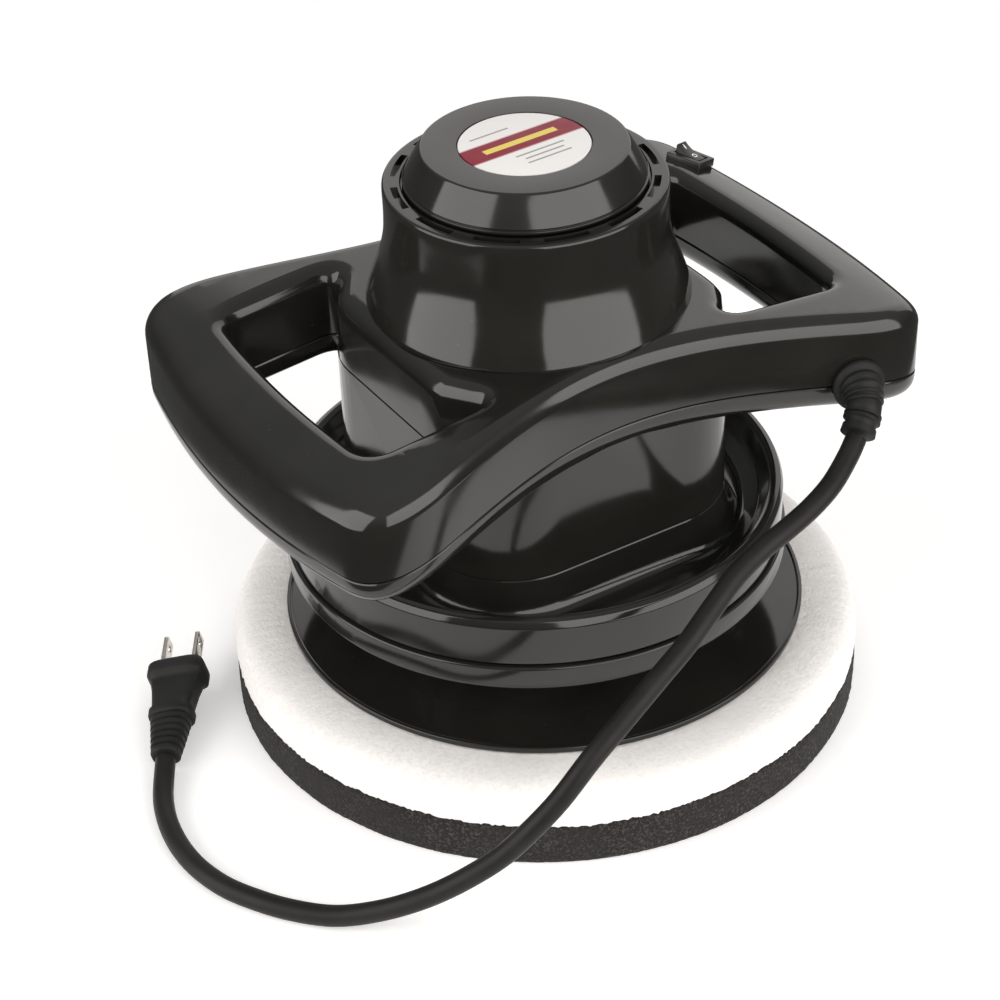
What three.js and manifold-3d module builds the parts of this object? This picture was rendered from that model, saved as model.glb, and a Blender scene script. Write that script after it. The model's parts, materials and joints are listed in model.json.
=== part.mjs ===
import * as THREE from 'three';
import { mergeVertices } from 'three/addons/utils/BufferGeometryUtils.js';
import Module from 'manifold-3d';

const wasm = await Module();
wasm.setup();

// Driving dimensions, in millimetres. The motor axis is x = 0, y = 0 and the pad stands on z = 0.
const PAD_RADIUS = 120;
const FINISHING_FOAM = 16.5;
const FOAM_TOP = 33;
const PLATE_RADIUS = 98.9;
const PLATE_TOP = 36;
const ORBIT = 4;
const ORBIT_ANGLE = 17 * Math.PI / 180;
const RING_BOTTOM = 61;
const RING_TOP = 70.7;
const RING_RADIUS = 93.9;
const DISH_RADIUS = 92.6;
const DISH_TOP = 90;
const DISH_FLOOR = 77;
const NECK_HALF = 60;
const NECK_CORNER = 28;
const NECK_SEAM = 91;
const WALL = 2.5;
const GAP = 0.3;
const SEAM_HEIGHT = 143;
const UPPER_SHELL = 27;
const LOWER_SHELL = 11;
const WAIST_HALF = 61;
const END_FLARE = 31;
const FLARE_SPAN = 140;
const END_REACH = 125.5;
const END_BOW = 9.7;
const LOOP_INNER = 60;
const LOOP_INNER_BOW = 8.5;
const LOOP_OUTER = 99;
const LOOP_OUTER_BOW = 2.8;
const LOOP_HALF = 53;
const COVER_TOP = 213.5;
const COVER_RADIUS = 50;
const CAP_TOP = 226;
const CAP_RADIUS = 36.2;
const CAP_EDGE = 42.8;
const LABEL_RADIUS = 23;
const CAN_RADIUS = 41;
const SHAFT_RADIUS = 4;
const CORD_RADIUS = 3.85;
const SWITCH_PLACE = new THREE.Vector3(110, 55, 0);
const SWITCH_TURN = 20 * Math.PI / 180;
const GLAND_PLACE = new THREE.Vector3(84.6, -81.5, 140.5);

const orbitCentre = new THREE.Vector2(ORBIT * Math.cos(ORBIT_ANGLE), ORBIT * Math.sin(ORBIT_ANGLE));

// Materials
function paint(color, roughness, metalness = 0) {
  return new THREE.MeshStandardMaterial({ color, roughness, metalness });
}
const blackGloss = paint(0x17171a, 0.25);
const blackSatin = paint(0x1c1c1e, 0.5);
const rubber = paint(0x191919, 0.8);
const whiteFoam = paint(0xf2f1ee, 0.95);
const greyFoam = paint(0x39393b, 0.95);
const steel = paint(0xa9adb2, 0.35, 1);
const nickel = paint(0xd5d6d8, 0.22, 1);
const brass = paint(0xc39a4a, 0.3, 1);
const copper = paint(0xb4683a, 0.35, 1);
const ferrite = paint(0x34353a, 0.7);
const carbon = paint(0x232325, 0.6, 0.2);
const castMetal = paint(0x9a9ca0, 0.5, 1);
const labelPaper = paint(0xf4f2ee, 0.45);
const boardGreen = paint(0x2f6b3c, 0.5);
const whitePlastic = paint(0xe6e4de, 0.4);
const redLead = paint(0xa02020, 0.5);

const group = new THREE.Group();

// Solid modelling helpers
function solid(geometry) {
  const bare = geometry.clone();
  bare.deleteAttribute('normal');
  bare.deleteAttribute('uv');
  const merged = mergeVertices(bare, 1e-4);
  return new wasm.Manifold(new wasm.Mesh({
    numProp: 3,
    vertProperties: new Float32Array(merged.attributes.position.array),
    triVerts: new Uint32Array(merged.index.array),
  }));
}

function geometryOf(body) {
  const { vertProperties, triVerts } = body.getMesh();
  const geometry = new THREE.BufferGeometry();
  geometry.setAttribute('position', new THREE.BufferAttribute(new Float32Array(vertProperties), 3));
  geometry.setIndex(new THREE.BufferAttribute(new Uint32Array(triVerts), 1));
  geometry.computeVertexNormals();
  return geometry;
}

function add(name, shape, material) {
  const geometry = shape.isBufferGeometry ? shape : geometryOf(shape);
  const mesh = new THREE.Mesh(geometry, material);
  mesh.name = name;
  group.add(mesh);
  return mesh;
}

// A turned piece about the vertical line through (x, y); the profile is [radius, height] pairs.
function turned(profile, segments = 48, x = 0, y = 0) {
  const points = profile.map(([r, z]) => new THREE.Vector2(r, z));
  return new THREE.LatheGeometry(points, segments).rotateX(Math.PI / 2).translate(x, y, 0);
}

function disc(radius, bottom, top, segments = 48, x = 0, y = 0) {
  return turned([[0, bottom], [radius, bottom], [radius, top], [0, top]], segments, x, y);
}

function tube(inner, outer, bottom, top, segments = 40, x = 0, y = 0) {
  const profile = [[inner, bottom], [outer, bottom], [outer, top], [inner, top], [inner, bottom]];
  return turned(profile, segments, x, y);
}

function slab(shape, bottom, top, curveSegments = 6) {
  const options = { depth: top - bottom, bevelEnabled: false, curveSegments };
  return new THREE.ExtrudeGeometry(shape, options).translate(0, 0, bottom);
}

function block(sizeX, sizeY, sizeZ, x, y, z) {
  return new THREE.BoxGeometry(sizeX, sizeY, sizeZ).translate(x, y, z);
}

function roundedRectangle(halfX, halfY, radius) {
  const shape = new THREE.Shape();
  shape.absarc(halfX - radius, halfY - radius, radius, 0, Math.PI / 2);
  shape.absarc(radius - halfX, halfY - radius, radius, Math.PI / 2, Math.PI);
  shape.absarc(radius - halfX, radius - halfY, radius, Math.PI, 1.5 * Math.PI);
  shape.absarc(halfX - radius, radius - halfY, radius, 1.5 * Math.PI, 2 * Math.PI);
  return shape;
}

// Moves a shape built on the local Z axis so that it starts at `from` and runs along `direction`.
function aim(geometry, from, direction, roll = 0) {
  const localAxis = new THREE.Vector3(0, 0, 1);
  const turn = new THREE.Quaternion().setFromUnitVectors(localAxis, direction.clone().normalize());
  return geometry.rotateZ(roll).applyQuaternion(turn).translate(from.x, from.y, from.z);
}

// Heights of the arched handles along x
const arch = (x) => SEAM_HEIGHT - 12.5 * (x / 165) ** 2 - 12 * (x / 165) ** 4;

function archedBand(lift0, lift1) {
  const reach = 150;
  const steps = 12;
  const shape = new THREE.Shape();
  const stations = Array.from({ length: steps + 1 }, (_, i) => -reach + 2 * reach * i / steps);
  stations.forEach((x, i) => {
    const z = arch(x) + lift0;
    if (i === 0) shape.moveTo(x, z);
    else shape.lineTo(x, z);
  });
  stations.reverse().forEach((x) => shape.lineTo(x, arch(x) + lift1));
  const sheet = new THREE.ExtrudeGeometry(shape, { depth: 240, bevelEnabled: false });
  return solid(sheet.rotateX(Math.PI / 2).translate(0, 120, 0));
}

// Plan outline of the handles: a waisted front and back, bowed ends and full corners.
function quadrant(inset) {
  const flare = (x) => WAIST_HALF - inset + END_FLARE * (1 - Math.cos(Math.PI * x / FLARE_SPAN)) / 2;
  const bow = (y) => END_REACH - inset - END_BOW * (y / 80) ** 2;
  const points = [];
  for (const x of [0, 30, 60, 90]) points.push(new THREE.Vector2(x, flare(x)));
  const start = points.at(-1);
  const cornerY = WAIST_HALF + END_FLARE - 16 - inset;
  const end = new THREE.Vector2(bow(cornerY), cornerY);
  const corner = new THREE.CubicBezierCurve(
    start, new THREE.Vector2(start.x + 13, start.y + 4), new THREE.Vector2(end.x - 3, end.y + 10), end);
  points.push(...corner.getPoints(5).slice(1));
  for (const y of [40, 0]) points.push(new THREE.Vector2(bow(y), y));
  return points;
}

function mirrorRound(points) {
  const back = points.slice(0, -1).reverse().map((p) => new THREE.Vector2(p.x, -p.y));
  const right = [...points, ...back];
  const left = right.slice(1, -1).reverse().map((p) => new THREE.Vector2(-p.x, p.y));
  return [...right, ...left];
}

function loopOutline(side, growth) {
  const inner = (y) => LOOP_INNER - growth - LOOP_INNER_BOW * (y / 50) ** 2;
  const outer = (y) => LOOP_OUTER + growth - LOOP_OUTER_BOW * (y / 50) ** 2;
  const radius = 13;
  const top = LOOP_HALF + growth;
  const half = [];
  for (const y of [0, 20, top - radius]) half.push(new THREE.Vector2(inner(y), y));
  const innerEnd = half.at(-1);
  half.push(new THREE.Vector2(innerEnd.x + 0.2 * radius, top - 0.35 * radius));
  half.push(new THREE.Vector2(innerEnd.x + 0.9 * radius, top));
  const outerEnd = new THREE.Vector2(outer(top - radius), top - radius);
  half.push(new THREE.Vector2(outerEnd.x - 0.95 * radius, top));
  half.push(new THREE.Vector2(outerEnd.x - 0.3 * radius, top - 0.3 * radius));
  half.push(outerEnd);
  for (const y of [20, 0]) half.push(new THREE.Vector2(outer(y), y));
  const whole = [...half, ...half.slice(1, -1).reverse().map((p) => new THREE.Vector2(p.x, -p.y))];
  return whole.map((p) => new THREE.Vector2(side * p.x, p.y));
}

function handlePlan(inset, growth) {
  let plan = solid(slab(new THREE.Shape(mirrorRound(quadrant(inset))), 80, 200));
  for (const side of [-1, 1]) {
    plan = plan.subtract(solid(slab(new THREE.Shape(loopOutline(side, growth)), 70, 210)));
  }
  return plan;
}

const outerPlan = handlePlan(0, 0);
const innerPlan = handlePlan(WALL, WALL);

// Pad: two laminated foam layers on the backing plate, centred on the orbiting spindle
const { x: padX, y: padY } = orbitCentre;
add('finishing_foam', disc(PAD_RADIUS, 0, FINISHING_FOAM - GAP / 2, 44, padX, padY), greyFoam);
add('backing_foam', turned([
  [0, FINISHING_FOAM + GAP / 2], [PAD_RADIUS - 0.3, FINISHING_FOAM + GAP / 2], [PAD_RADIUS - 0.3, 27],
  [PAD_RADIUS - 2, 31.5], [PAD_RADIUS - 6, FOAM_TOP], [0, FOAM_TOP],
], 44, padX, padY), whiteFoam);

const BOLT_RADIUS = 5.7;
const HUB_TOP = 50;
const plate = solid(turned([
  [0, FOAM_TOP + GAP], [PLATE_RADIUS, FOAM_TOP + GAP],
  [PLATE_RADIUS, PLATE_TOP], [PLATE_RADIUS - 3, PLATE_TOP],
  [60, PLATE_TOP + 3], [20, PLATE_TOP + 5], [15, HUB_TOP], [0, HUB_TOP],
], 36, padX, padY));
const headPocket = solid(disc(11, 30, 41, 16, padX, padY));
const boltHole = solid(disc(BOLT_RADIUS + GAP, 30, 60, 16, padX, padY));
add('backing_plate', plate.subtract(headPocket).subtract(boltHole), blackGloss);

// Spindle: the bolt stands in the plate and turns in the bearing of the eccentric hub
const BEARING_BOTTOM = 51;
const BEARING_TOP = 61;
const boltHead = solid(disc(9.5, 34, 40.7, 6, padX, padY));
const boltShank = solid(disc(BOLT_RADIUS, 40, 70, 16, padX, padY));
add('spindle_bolt', boltHead.add(boltShank), steel);
const nutBlank = solid(disc(9.5, BEARING_TOP + GAP, BEARING_TOP + 7, 6, padX, padY));
const nutBore = solid(disc(BOLT_RADIUS + GAP, 55, 80, 16, padX, padY));
add('spindle_nut', nutBlank.subtract(nutBore), steel);
add('pad_bearing', tube(BOLT_RADIUS + GAP, 16, BEARING_BOTTOM, BEARING_TOP, 24, padX, padY), steel);

// Eccentric hub: a cup over the bearing, with the boss that is pressed on the motor shaft
const HUB_WEB = 72;
const hubCup = solid(disc(22, BEARING_BOTTOM, HUB_WEB + 5, 24, padX * 0.5, padY * 0.5));
const hubBoss = solid(disc(10, HUB_WEB, HUB_WEB + 13, 16));
const bearingSeat = solid(disc(16 + GAP, 40, HUB_WEB, 24, padX, padY));
const shaftBore = solid(disc(SHAFT_RADIUS + GAP, 40, 220, 16));
add('eccentric_hub', hubCup.add(hubBoss).subtract(bearingSeat).subtract(shaftBore), castMetal);

// Counterweight: a sector opposite the spindle, held on the hub web by a screw
const WEIGHT_BOTTOM = HUB_WEB + 5 + GAP;
const WEIGHT_TOP = WEIGHT_BOTTOM + 6;
const sector = new THREE.Shape();
sector.absarc(0, 0, 36, Math.PI * 0.62, Math.PI * 1.38, false);
sector.absarc(0, 0, 11, Math.PI * 1.38, Math.PI * 0.62, true);
const weightBlank = slab(sector, WEIGHT_BOTTOM, WEIGHT_TOP, 8).rotateZ(ORBIT_ANGLE);
const weightScrewX = -16 * Math.cos(ORBIT_ANGLE);
const weightScrewY = -16 * Math.sin(ORBIT_ANGLE);
const weightHole = solid(disc(2 + GAP, 60, 100, 12, weightScrewX, weightScrewY));
const weightScrewHead = solid(disc(3.6, WEIGHT_TOP + GAP, WEIGHT_TOP + 2.6, 12, weightScrewX, weightScrewY));
const weightScrewShank = solid(disc(2, WEIGHT_BOTTOM, WEIGHT_TOP + 1, 12, weightScrewX, weightScrewY));
add('counterweight', solid(weightBlank).subtract(weightHole), castMetal);
add('counterweight_screw', weightScrewHead.add(weightScrewShank), steel);

// Cooling fan: a hub, a disc and curved blades
const FAN_BOTTOM = 87;
const BLADES = 7;
let fan = solid(disc(38, FAN_BOTTOM, FAN_BOTTOM + 1.6, 28));
fan = fan.add(solid(disc(9, FAN_BOTTOM, FAN_BOTTOM + 8, 16)));
for (let i = 0; i < BLADES; i += 1) {
  const blade = block(24, 1.6, 7.2, 24, 0, FAN_BOTTOM + 3.8).rotateZ(0.35).translate(0, -7, 0);
  fan = fan.add(solid(blade.rotateZ(i * 2 * Math.PI / BLADES)));
}
add('cooling_fan', fan.subtract(shaftBore), blackSatin);

// Motor, standing on a plate in the neck
const MOUNT_BOTTOM = 97;
const CAN_BOTTOM = 106.3;
const CAN_TOP = 184;
const mountHoles = [[-43, -43], [43, 43]];
const mountHalf = NECK_HALF - WALL - 1;
const mountOutline = roundedRectangle(mountHalf, mountHalf, NECK_CORNER - WALL - 1);
let mountPlate = solid(slab(mountOutline, MOUNT_BOTTOM, MOUNT_BOTTOM + 2));
mountPlate = mountPlate.subtract(solid(disc(14, 80, 110, 20)));
for (const [x, y] of mountHoles) mountPlate = mountPlate.subtract(solid(disc(2.3, 80, 110, 8, x, y)));
add('motor_mount_plate', mountPlate, steel);
mountHoles.forEach(([x, y], i) => {
  const head = solid(disc(4, MOUNT_BOTTOM - 3, MOUNT_BOTTOM - GAP, 8, x, y));
  add(`motor_screw_${i + 1}`, head.add(solid(disc(2, MOUNT_BOTTOM - 1, 112, 8, x, y))), steel);
});

const lowerBracket = solid(disc(CAN_RADIUS, MOUNT_BOTTOM + 2 + GAP, CAN_BOTTOM - GAP, 28));
const lowerSeat = solid(disc(9.5 + GAP, 90, 120, 20));
add('lower_end_bracket', lowerBracket.subtract(lowerSeat), castMetal);
add('lower_bearing', tube(SHAFT_RADIUS + GAP, 9.5, MOUNT_BOTTOM + 2 + GAP, CAN_BOTTOM - GAP, 20), steel);
add('motor_can', tube(CAN_RADIUS - 2.4, CAN_RADIUS, CAN_BOTTOM, CAN_TOP, 28), steel);

const magnet = new THREE.Shape();
magnet.absarc(0, 0, CAN_RADIUS - 2.4 - GAP, -1.15, 1.15, false);
magnet.absarc(0, 0, 32.6, 1.15, -1.15, true);
add('field_magnet_right', slab(magnet, 112, 178, 8), ferrite);
add('field_magnet_left', slab(magnet, 112, 178, 8).rotateZ(Math.PI), ferrite);

const CORE_RADIUS = 31.6;
const SLOTS = 8;
let core = solid(disc(CORE_RADIUS, 120, 170, 32)).subtract(shaftBore);
for (let i = 0; i < SLOTS; i += 1) {
  const slot = block(12, 5, 60, 23, 0, 145).rotateZ((i + 0.5) * 2 * Math.PI / SLOTS);
  const mouth = block(8, 1.8, 60, 30, 0, 145).rotateZ((i + 0.5) * 2 * Math.PI / SLOTS);
  core = core.subtract(solid(slot)).subtract(solid(mouth));
}
add('armature_core', core, steel);
const winding = (z0, z1) => turned([
  [8, z0], [24, z0], [28, z0 + 0.35 * (z1 - z0)], [25, z1], [8, z1], [8, z0],
], 20);
add('winding_upper', winding(170 + GAP, 179), copper);
add('winding_lower', winding(111, 120 - GAP), copper);
add('commutator', tube(SHAFT_RADIUS + GAP, 11, 182, 197, 16), copper);
add('motor_shaft', disc(SHAFT_RADIUS, HUB_WEB + 1.5, 206, 16), steel);

// Upper bracket: a ring on the can with two posts and a bridge that holds the upper bearing
const BRIDGE = 199;
let upperBracket = solid(tube(20, CAN_RADIUS, CAN_TOP + GAP, CAN_TOP + 4, 28));
for (const side of [-1, 1]) {
  const post = block(12, 5, BRIDGE + 3 - CAN_TOP, 0, side * 27, (BRIDGE + CAN_TOP + 7) / 2);
  upperBracket = upperBracket.add(solid(post));
}
upperBracket = upperBracket.add(solid(block(12, 58, 5, 0, 0, BRIDGE + 2.5)));
upperBracket = upperBracket.add(solid(disc(13, BRIDGE, BRIDGE + 6, 16)));
upperBracket = upperBracket.subtract(solid(disc(8.5 + GAP, BRIDGE - 2, BRIDGE + 10, 16)));
add('upper_end_bracket', upperBracket, castMetal);
add('upper_bearing', tube(SHAFT_RADIUS + GAP, 8.5, BRIDGE, BRIDGE + 6, 16), steel);

// Brush gear, one set on each side of the commutator
for (const [side, label] of [[-1, 'left'], [1, 'right']]) {
  const z = 193;
  const holder = solid(block(20, 10, 9, side * 23.5, 0, z));
  const brushWay = solid(block(30, 7, 6, side * 23.5, 0, z));
  add(`brush_holder_${label}`, holder.subtract(brushWay), brass);
  add(`carbon_brush_${label}`, block(12, 6.4, 5.4, side * 17.5, 0, z), carbon);
  const helix = new THREE.CatmullRomCurve3(Array.from({ length: 25 }, (_, i) => {
    const turn = i * Math.PI / 4;
    return new THREE.Vector3(side * (24.2 + i * 0.36), 1.9 * Math.cos(turn), z + 1.9 * Math.sin(turn));
  }));
  const wire = new THREE.Shape().absarc(0, 0, 0.35, 0, 2 * Math.PI);
  const spring = new THREE.ExtrudeGeometry(wire, { steps: 24, curveSegments: 3, extrudePath: helix });
  add(`brush_spring_${label}`, spring, steel);
}

// Base housing: a dished skirt with a square upstand round the drive opening
const dishFloorBottom = DISH_FLOOR - WALL;
let base = solid(turned([
  [40, dishFloorBottom], [82, dishFloorBottom], [86.6, 81], [DISH_RADIUS - WALL, 82],
  [DISH_RADIUS - WALL, RING_TOP + GAP], [DISH_RADIUS, RING_TOP + GAP],
  [DISH_RADIUS, 86.5], [90, DISH_TOP], [87.5, DISH_TOP - 0.5],
  [82, 80.5], [77, DISH_FLOOR], [40, DISH_FLOOR], [40, dishFloorBottom],
], 40));
const upstand = slab(roundedRectangle(NECK_HALF, NECK_HALF, NECK_CORNER), dishFloorBottom, NECK_SEAM);
base = base.add(solid(upstand));
const neckBore = (bottom, top) => solid(slab(
  roundedRectangle(NECK_HALF - WALL, NECK_HALF - WALL, NECK_CORNER - WALL), bottom, top));
base = base.subtract(neckBore(60, 100));

// Skirt ring, screwed up into three bosses under the dish
const ringScrews = [90, 210, 330].map((degrees) => {
  const angle = degrees * Math.PI / 180;
  return [80 * Math.cos(angle), 80 * Math.sin(angle)];
});
let ring = solid(turned([
  [RING_RADIUS - WALL, RING_BOTTOM], [RING_RADIUS, RING_BOTTOM], [RING_RADIUS, RING_TOP], [74, RING_TOP],
  [74, RING_TOP - 2], [RING_RADIUS - WALL, RING_TOP - 2], [RING_RADIUS - WALL, RING_BOTTOM],
], 40));
ringScrews.forEach(([x, y], i) => {
  ring = ring.subtract(solid(disc(2, 60, 90, 8, x, y)));
  base = base.add(solid(disc(4, RING_TOP + GAP, DISH_FLOOR - 1, 8, x, y)));
  base = base.subtract(solid(disc(1.9, 60, DISH_FLOOR - 1, 8, x, y)));
  const head = solid(disc(3.6, RING_TOP - 4.6, RING_TOP - 2 - GAP, 8, x, y));
  const shank = solid(disc(1.6, RING_TOP - 3, DISH_FLOOR - 1.5, 8, x, y));
  add(`ring_screw_${i + 1}`, head.add(shank), steel);
});
add('skirt_ring', ring, blackGloss);

// Base screws run up through the upstand's inner bosses into the neck
const NECK_SCREW = NECK_HALF - 8;
[-NECK_SCREW, NECK_SCREW].forEach((x, i) => {
  base = base.add(solid(block(12, 8, NECK_SEAM - dishFloorBottom, x, 0, (NECK_SEAM + dishFloorBottom) / 2)));
  base = base.subtract(solid(disc(2, 60, 100, 8, x)));
  const head = solid(disc(3.8, dishFloorBottom - 3, dishFloorBottom - GAP, 8, x));
  add(`base_screw_${i + 1}`, head.add(solid(disc(1.7, dishFloorBottom - 1, NECK_SEAM + 3, 8, x))), steel);
});
add('base_housing', base, blackGloss);

// Handle shells and neck, split along the arched seam
const upperBand = archedBand(GAP / 2, UPPER_SHELL);
const lowerBand = archedBand(-LOWER_SHELL, -GAP / 2);
const shellScrews = [[-110, -60], [-110, 60], [110, -60], [88, 70]];

let upper = outerPlan.intersect(upperBand).subtract(innerPlan.intersect(archedBand(-4, UPPER_SHELL - WALL)));
upper = upper.subtract(solid(disc(COVER_RADIUS - 2, 100, 200, 28)));
let lower = outerPlan.intersect(lowerBand);
lower = lower.add(solid(slab(roundedRectangle(NECK_HALF, NECK_HALF, NECK_CORNER), NECK_SEAM + GAP, 136)));
lower = lower.subtract(innerPlan.intersect(archedBand(WALL - LOWER_SHELL, 4)));
lower = lower.subtract(neckBore(80, 160));
lower = lower.intersect(solid(slab(roundedRectangle(140, 140, 10), 80, 136)).add(lowerBand));

// Bosses for the motor plate screws, the base screws and the shell screws
for (const [x, y] of mountHoles) {
  const web = block(12, 5, 14.4, 4 * Math.SQRT2, 0, 106.8).rotateZ(Math.atan2(y, x)).translate(x, y, 0);
  lower = lower.add(solid(disc(5, MOUNT_BOTTOM + 2 + GAP, 114, 8, x, y)));
  lower = lower.add(solid(web));
  lower = lower.subtract(solid(disc(2.2, 90, 112.5, 8, x, y)));
}
for (const side of [-1, 1]) {
  const bossMiddle = (MOUNT_BOTTOM + NECK_SEAM) / 2;
  const boss = block(8, 8, MOUNT_BOTTOM - NECK_SEAM - 2 * GAP, side * (NECK_HALF - 5.6), 0, bossMiddle);
  lower = lower.add(solid(boss));
  lower = lower.subtract(solid(disc(2, 80, MOUNT_BOTTOM - 1.5, 8, side * NECK_SCREW)));
}
shellScrews.forEach(([x, y], i) => {
  const seam = arch(x);
  const bottom = seam - LOWER_SHELL;
  lower = lower.add(solid(disc(4.5, bottom + 1, seam - 1, 10, x, y)));
  lower = lower.subtract(solid(disc(2, bottom - 3, seam + 3, 8, x, y)));
  lower = lower.subtract(solid(disc(3.9, bottom - 3, bottom + 4, 10, x, y)));
  upper = upper.add(solid(disc(4, seam - 0.6, seam + UPPER_SHELL - 1.5, 8, x, y)));
  upper = upper.subtract(solid(disc(1.9, seam - 3, seam + 15, 8, x, y)));
  const head = solid(disc(3.5, bottom + 1.8, bottom + 4 - GAP, 8, x, y));
  add(`shell_screw_${i + 1}`, head.add(solid(disc(1.6, bottom + 3, seam + 14, 8, x, y))), steel);
});

// Rocker switch on the back corner of the right-hand handle
const switchTop = arch(SWITCH_PLACE.x) + UPPER_SHELL;
const switchTilt = Math.atan((arch(SWITCH_PLACE.x - 1) - arch(SWITCH_PLACE.x + 1)) / 2);
function atSwitch(geometry) {
  geometry.rotateZ(SWITCH_TURN).rotateY(switchTilt);
  return geometry.translate(SWITCH_PLACE.x, SWITCH_PLACE.y, switchTop);
}
upper = upper.subtract(solid(atSwitch(block(9, 13.6, 14, 0, 0, -2))));
const FRAME = { x: 11, y: 15.5, top: 2.4, bottom: 0.3, depth: 15 };
const flangeHeight = FRAME.top - FRAME.bottom;
const frameFlange = solid(block(FRAME.x, FRAME.y, flangeHeight, 0, 0, FRAME.bottom + flangeHeight / 2));
const frameBody = solid(block(8.4, 13, FRAME.depth, 0, 0, FRAME.bottom + 0.5 - FRAME.depth / 2));
const frameWell = solid(block(6.6, 12, 13, 0, 0, FRAME.top - 6));
const switchFrame = frameFlange.add(frameBody).subtract(frameWell);
add('switch_frame', atSwitch(geometryOf(switchFrame)), blackSatin);

const PIVOT = FRAME.top - 1.2;
const rocker = new THREE.Shape();
rocker.moveTo(-5.2, PIVOT + 0.2);
rocker.lineTo(-5.2, PIVOT + 0.9);
rocker.quadraticCurveTo(1.6, PIVOT + 1.4, 5.0, PIVOT + 4.6);
rocker.lineTo(5.4, PIVOT + 3.8);
rocker.lineTo(5.2, PIVOT + 0.2);
rocker.quadraticCurveTo(0, PIVOT - 9.6, -5.2, PIVOT + 0.2);
const rockerBody = new THREE.ExtrudeGeometry(rocker, { depth: 5.8, bevelEnabled: false, curveSegments: 8 });
rockerBody.rotateX(Math.PI / 2).rotateZ(Math.PI / 2).translate(-2.9, 0, 0);
add('switch_rocker', atSwitch(rockerBody), blackSatin);
for (const [i, y] of [-3, 3].entries()) {
  const tab = atSwitch(block(4.8, 0.8, 8, 0, y, FRAME.bottom - FRAME.depth - 4));
  add(`switch_terminal_${i + 1}`, tab, brass);
}

// Cord relief through the front wall of the right-hand handle
const glandOut = new THREE.Vector3(-0.314, -0.949, 0).normalize();
const along = (distance) => GLAND_PLACE.clone().addScaledVector(glandOut, distance);
const glandBore = new THREE.CylinderGeometry(7, 7, 16, 16).rotateX(Math.PI / 2);
const glandHole = solid(aim(glandBore, along(0), glandOut));
upper = upper.subtract(glandHole);
lower = lower.subtract(glandHole);
function glandDisc(radius, start, end) {
  const blank = new THREE.CylinderGeometry(radius, radius, end - start, 14).rotateX(Math.PI / 2);
  return solid(aim(blank, along((start + end) / 2), glandOut));
}
const reliefRoute = new THREE.CatmullRomCurve3([
  along(2), along(6), new THREE.Vector3(79.4, -92.4, 136.6), new THREE.Vector3(73, -97.2, 131),
]);
let relief = glandDisc(9.2, 0.9, 3.2).add(glandDisc(6.6, -3.6, 1)).add(glandDisc(8.6, -5.6, -3.4));
const RIBS = 5;
for (let i = 0; i < RIBS; i += 1) {
  const from = reliefRoute.getPoint(i / RIBS);
  const to = reliefRoute.getPoint((i + 0.995) / RIBS);
  const length = from.distanceTo(to) + 0.6;
  const radius = 7.4 - 1.7 * i / RIBS;
  const rib = new THREE.CylinderGeometry(radius - 0.5, radius, length, 10).rotateX(Math.PI / 2);
  relief = relief.add(solid(aim(rib, from.clone().lerp(to, 0.5), to.clone().sub(from))));
}
const cordStart = reliefRoute.getPoint(1);
const cordOut = new THREE.Vector3(-0.8, -0.5, -0.34).normalize();
relief = relief.subtract(solid(aim(block(24, 24, 10, 0, 0, 5), cordStart, cordOut)));
add('cord_relief', relief, rubber);

// Cord clamp inside the handle
const clampPlace = along(-16);
add('cord_clamp', solid(block(22, 8, 3, clampPlace.x, clampPlace.y, clampPlace.z - 5)), blackSatin);

add('handle_upper', upper, blackGloss);
add('handle_lower', lower, blackGloss);

// Motor cover: a bell whose foot follows the arched handle top, with curved vents in its top face
let cover = solid(turned([
  [COVER_RADIUS - WALL - 1, 211], [COVER_RADIUS - WALL - 1.5, 196],
  [53.5, 174], [53.5, 160], [57, 160], [57, 172],
  [53.5, 182], [50.3, 194], [COVER_RADIUS, 212.3], [COVER_RADIUS - 1.2, COVER_TOP],
  [39, COVER_TOP], [39, 211], [COVER_RADIUS - WALL - 1, 211],
], 34));
cover = cover.subtract(archedBand(-40, UPPER_SHELL + GAP));
const VENTS = 12;
const VENT_HALF = 0.175;
for (let i = 0; i < VENTS; i += 1) {
  const vent = new THREE.Shape();
  vent.absarc(0, 0, 47, -VENT_HALF, VENT_HALF, false);
  vent.absarc(0, 0, 44.6, VENT_HALF, -VENT_HALF, true);
  cover = cover.subtract(solid(slab(vent, 205, 220, 2).rotateZ((i + 0.5) * 2 * Math.PI / VENTS)));
}
add('motor_cover', cover, blackGloss);

// Cap and its label disc
const cap = solid(turned([
  [0, CAP_TOP - WALL - 1], [CAP_RADIUS - WALL, CAP_TOP - WALL - 1], [CAP_EDGE - WALL - 0.6, COVER_TOP + GAP],
  [CAP_EDGE, COVER_TOP + GAP], [CAP_EDGE, COVER_TOP + 1.6], [CAP_RADIUS, CAP_TOP],
  [LABEL_RADIUS + GAP, CAP_TOP], [LABEL_RADIUS + GAP, CAP_TOP - 0.9], [0, CAP_TOP - 0.9],
], 32));
add('top_cap', cap, blackGloss);
add('cap_label', disc(LABEL_RADIUS, CAP_TOP - 0.9 + GAP, CAP_TOP - 0.05, 32), labelPaper);

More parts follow.
